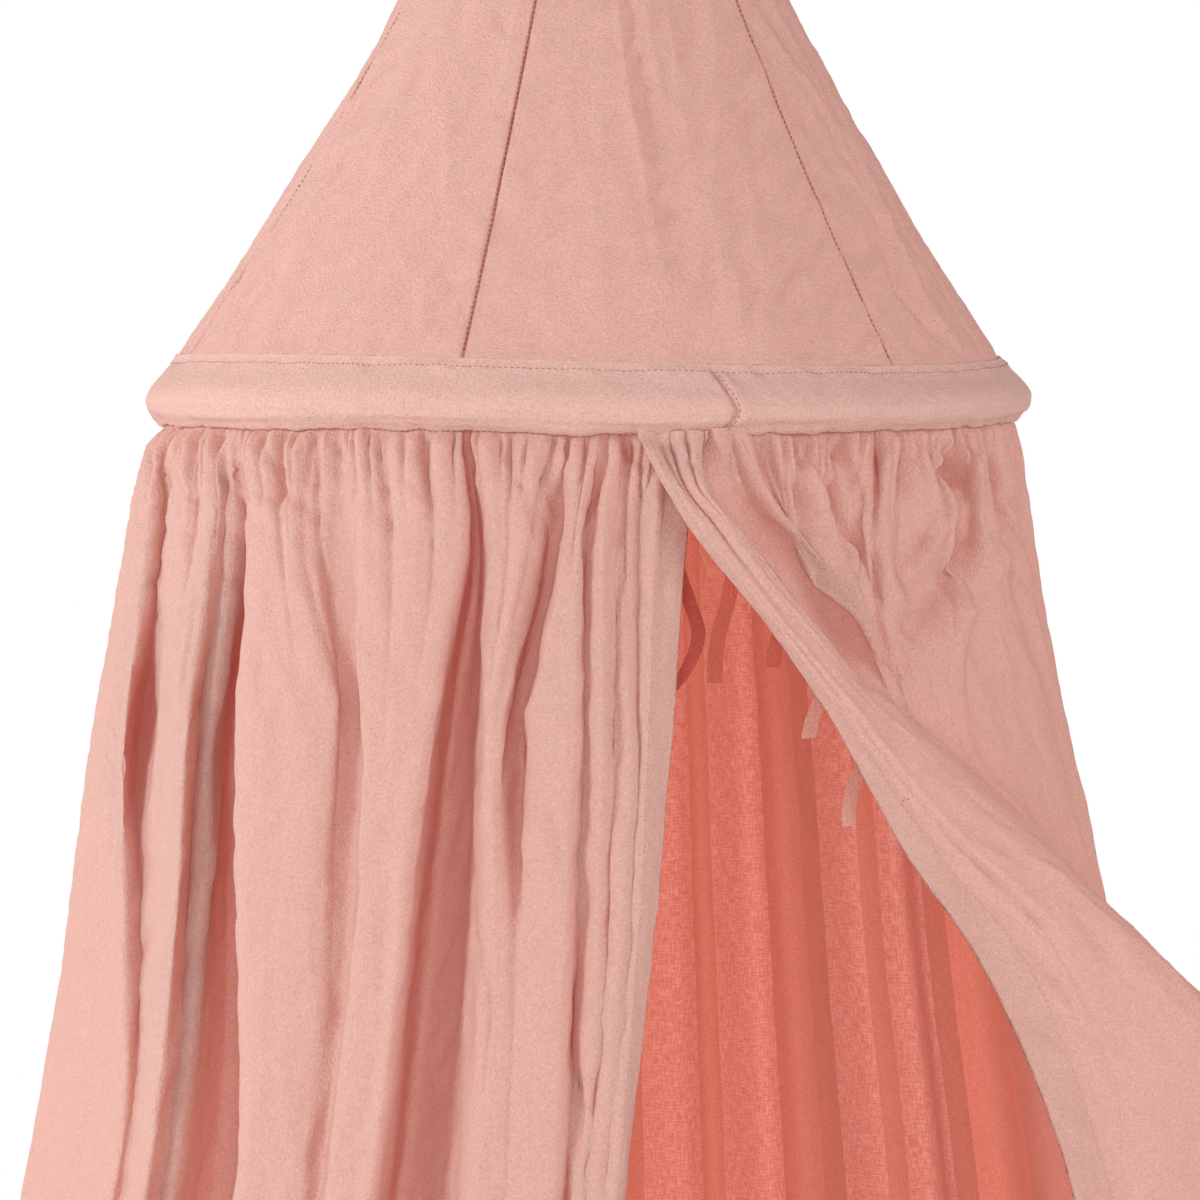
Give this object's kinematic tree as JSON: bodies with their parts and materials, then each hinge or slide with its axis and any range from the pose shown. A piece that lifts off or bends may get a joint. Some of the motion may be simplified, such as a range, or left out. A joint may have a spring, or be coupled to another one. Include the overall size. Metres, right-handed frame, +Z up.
{
  "type": "mosquito net canopy with hoop",
  "caption": "Bed canopy of thin crinkled cotton: a tapered dome of sewn gores on a hoop, and a long gathered skirt that opens at the front, with one side drawn back.",
  "frame": {"origin": "underside of the hanging loop's crown, where the ceiling hook bears", "axes": "+Z up; -Y is the front, where the skirt opens; +X is to the right as seen from the front, the side the flap is drawn to"},
  "size_m": [0.8911, 0.8705, 1.6085],
  "materials": {
    "dome_cotton": "plain-woven crinkled cotton, dusty pink, matt",
    "casing_cotton": "plain-woven crinkled cotton, dusty pink, matt",
    "skirt_cotton": "plain-woven crinkled cotton, dusty pink, a little see-through against light",
    "ribbon_cotton": "narrow tie of the same cotton",
    "tape_cotton": "cotton tape",
    "hoop_plastic": "off-white plastic tube"
  },
  "bodies": {
    "root": {"gore_1": "dome_cotton", "gore_2": "dome_cotton", "gore_3": "dome_cotton", "gore_4": "dome_cotton", "gore_5": "dome_cotton", "gore_6": "dome_cotton", "casing": "casing_cotton", "hoop": "hoop_plastic", "skirt_left": "skirt_cotton", "skirt_back": "skirt_cotton", "skirt_right": "skirt_cotton", "tie_a": "ribbon_cotton", "tie_b": "ribbon_cotton", "tie_c": "ribbon_cotton", "tie_d": "ribbon_cotton", "tie_e": "ribbon_cotton", "hanging_loop": "tape_cotton"}
  },
  "joints": []
}
